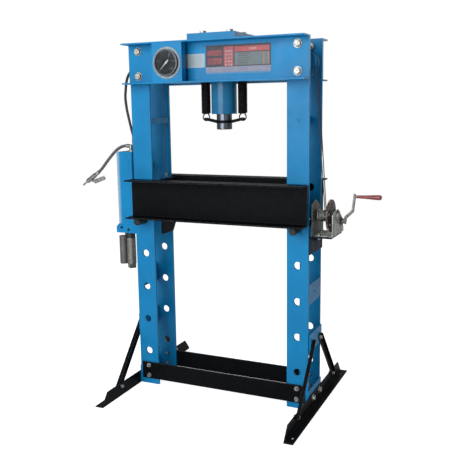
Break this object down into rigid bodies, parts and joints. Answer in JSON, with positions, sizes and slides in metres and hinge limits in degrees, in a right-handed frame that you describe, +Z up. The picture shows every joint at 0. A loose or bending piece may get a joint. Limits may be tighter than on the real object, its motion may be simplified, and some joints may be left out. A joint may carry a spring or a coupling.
{
  "type": "air-hydraulic shop press",
  "caption": "Floor-standing H-frame press: hydraulic cylinder with spring-returned ram, pinned bed raised by a hand winch, pressure gauge, air-hydraulic pump.",
  "frame": {"origin": "on the floor, at the centre of the four anchor holes in the feet", "axes": "+X to the right along the beams, +Y to the rear, +Z up"},
  "size_m": [1.6292, 0.952, 1.864],
  "materials": {
    "blue_paint": "gloss enamel",
    "black_paint": "semi-gloss enamel",
    "zinc_plate": "zinc plated",
    "bright_steel": "ground and plated",
    "wire_rope": "galvanised strand",
    "galvanised": "galvanised",
    "motor_alloy": "cast and turned",
    "plate_alloy": "printed thin plate",
    "gauge_black": "gloss",
    "dial_black": "printed dial",
    "pointer_white": "white enamel",
    "hose_rubber": "matte",
    "knob_black": "moulded",
    "grip_red": "moulded"
  },
  "bodies": {
    "frame": {"upright_front_left": "blue_paint", "upright_rear_left": "blue_paint", "upright_front_right": "blue_paint", "upright_rear_right": "blue_paint", "upright_spacers": "blue_paint", "side_plates": "blue_paint", "foot_left": "black_paint", "foot_right": "black_paint", "braces_left": "black_paint", "braces_right": "black_paint", "crossbar_front": "black_paint", "crossbar_rear": "black_paint", "beam_front": "blue_paint", "beam_rear": "blue_paint", "head_plate": "blue_paint", "head_bolts": "zinc_plate", "frame_bolts": "zinc_plate", "press_cylinder": "blue_paint", "return_spring_left": "black_paint", "return_spring_right": "black_paint", "label_plates": "plate_alloy", "gauge_panel": "blue_paint", "gauge_ring": "zinc_plate", "gauge_case": "gauge_black", "gauge_dial": "dial_black", "rope_drop_left": "wire_rope", "rope_drop_right": "wire_rope", "lifting_rope": "wire_rope", "sheave_axles": "zinc_plate", "winch_bracket": "black_paint", "winch_frame": "galvanised", "pump_bracket": "black_paint", "pump_tank": "blue_paint", "pump_base": "blue_paint", "pump_barrel": "galvanised", "air_motor": "motor_alloy", "hose_fittings": "zinc_plate", "hydraulic_hose": "hose_rubber", "air_hose": "hose_rubber", "air_valve": "zinc_plate"},
    "ram": {"piston": "bright_steel", "ram_rod": "bright_steel", "spring_yoke": "black_paint"},
    "pointer": {"gauge_pointer": "pointer_white"},
    "bed": {"bed_front": "black_paint", "bed_rear": "black_paint", "bed_guides": "black_paint", "rope_hooks": "wire_rope"},
    "pin_left": {"bed_pin_left": "black_paint"},
    "pin_right": {"bed_pin_right": "black_paint"},
    "sheave_l": {"sheave_left": "blue_paint"},
    "sheave_r": {"sheave_right": "blue_paint"},
    "drum": {"winch_drum": "galvanised", "drum_gear": "galvanised"},
    "crank": {"pinion_shaft": "bright_steel", "crank_arm": "zinc_plate"},
    "grip": {"crank_grip": "grip_red"},
    "pawl": {"winch_pawl": "zinc_plate"},
    "knob": {"release_knob": "knob_black"},
    "lever": {"valve_lever": "zinc_plate"}
  },
  "joints": [
    {"name": "ram_slide", "type": "slide", "parent": "frame", "child": "ram", "axis": [0, 0, -1], "range_m": [0, 0.18], "stiffness_N_per_m": 2000, "springref_m": -0.12, "deforming": ["return_spring_left", "return_spring_right"]},
    {"name": "bed_lift", "type": "slide", "parent": "frame", "child": "bed", "axis": [0, 0, 1], "range_m": [0, 0.19], "deforming": ["rope_drop_left", "rope_drop_right"]},
    {"name": "drum_turn", "type": "hinge", "parent": "frame", "child": "drum", "pos_m": [0.53, 0, 0.972], "axis": [1, 0, 0], "range_deg": [0, 460]},
    {"name": "crank_turn", "type": "hinge", "parent": "frame", "child": "crank", "pos_m": [0.59, 0.08217, 0.93541], "axis": [1, 0, 0], "range_deg": [-2730, 0]},
    {"name": "sheave_right_turn", "type": "hinge", "parent": "frame", "child": "sheave_r", "pos_m": [0.42, 0, 1.7], "axis": [0, 1, 0], "range_deg": [0, 205]},
    {"name": "sheave_left_turn", "type": "hinge", "parent": "frame", "child": "sheave_l", "pos_m": [-0.312, 0, 1.7], "axis": [0, 1, 0], "range_deg": [0, 205]},
    {"name": "grip_spin", "type": "hinge", "parent": "crank", "child": "grip", "pos_m": [0.71, 0.14034, 1.05056], "axis": [1, 0, 0], "continuous": true},
    {"name": "pawl_swing", "type": "hinge", "parent": "frame", "child": "pawl", "pos_m": [0.5895, 0.028, 0.986], "axis": [1, 0, 0], "range_deg": [0, 45]},
    {"name": "pin_left_slide", "type": "slide", "parent": "frame", "child": "pin_left", "axis": [0, -1, 0], "range_m": [0, 0.29]},
    {"name": "pin_right_slide", "type": "slide", "parent": "frame", "child": "pin_right", "axis": [0, -1, 0], "range_m": [0, 0.29]},
    {"name": "pointer_turn", "type": "hinge", "parent": "frame", "child": "pointer", "pos_m": [-0.219, -0.19, 1.713], "axis": [0, 1, 0], "range_deg": [0, 270], "stiffness_Nm_per_rad": 0.002, "springref_deg": -20.05},
    {"name": "release_turn", "type": "hinge", "parent": "frame", "child": "knob", "pos_m": [-0.579, 0.06, 0.854], "axis": [0, 1, 0], "range_deg": [0, 360]},
    {"name": "lever_press", "type": "hinge", "parent": "frame", "child": "lever", "pos_m": [-0.78632, -0.04, 1.10562], "axis": [0, -1, 0], "range_deg": [0, 9], "stiffness_Nm_per_rad": 0.2, "springref_deg": -17.19}
  ],
  "couplings": [
    {"joint": "drum_turn", "follows": "bed_lift", "rad_per_m": 41.667},
    {"joint": "crank_turn", "follows": "bed_lift", "rad_per_m": -250},
    {"joint": "sheave_right_turn", "follows": "bed_lift", "rad_per_m": 18.519},
    {"joint": "sheave_left_turn", "follows": "bed_lift", "rad_per_m": 18.519}
  ]
}
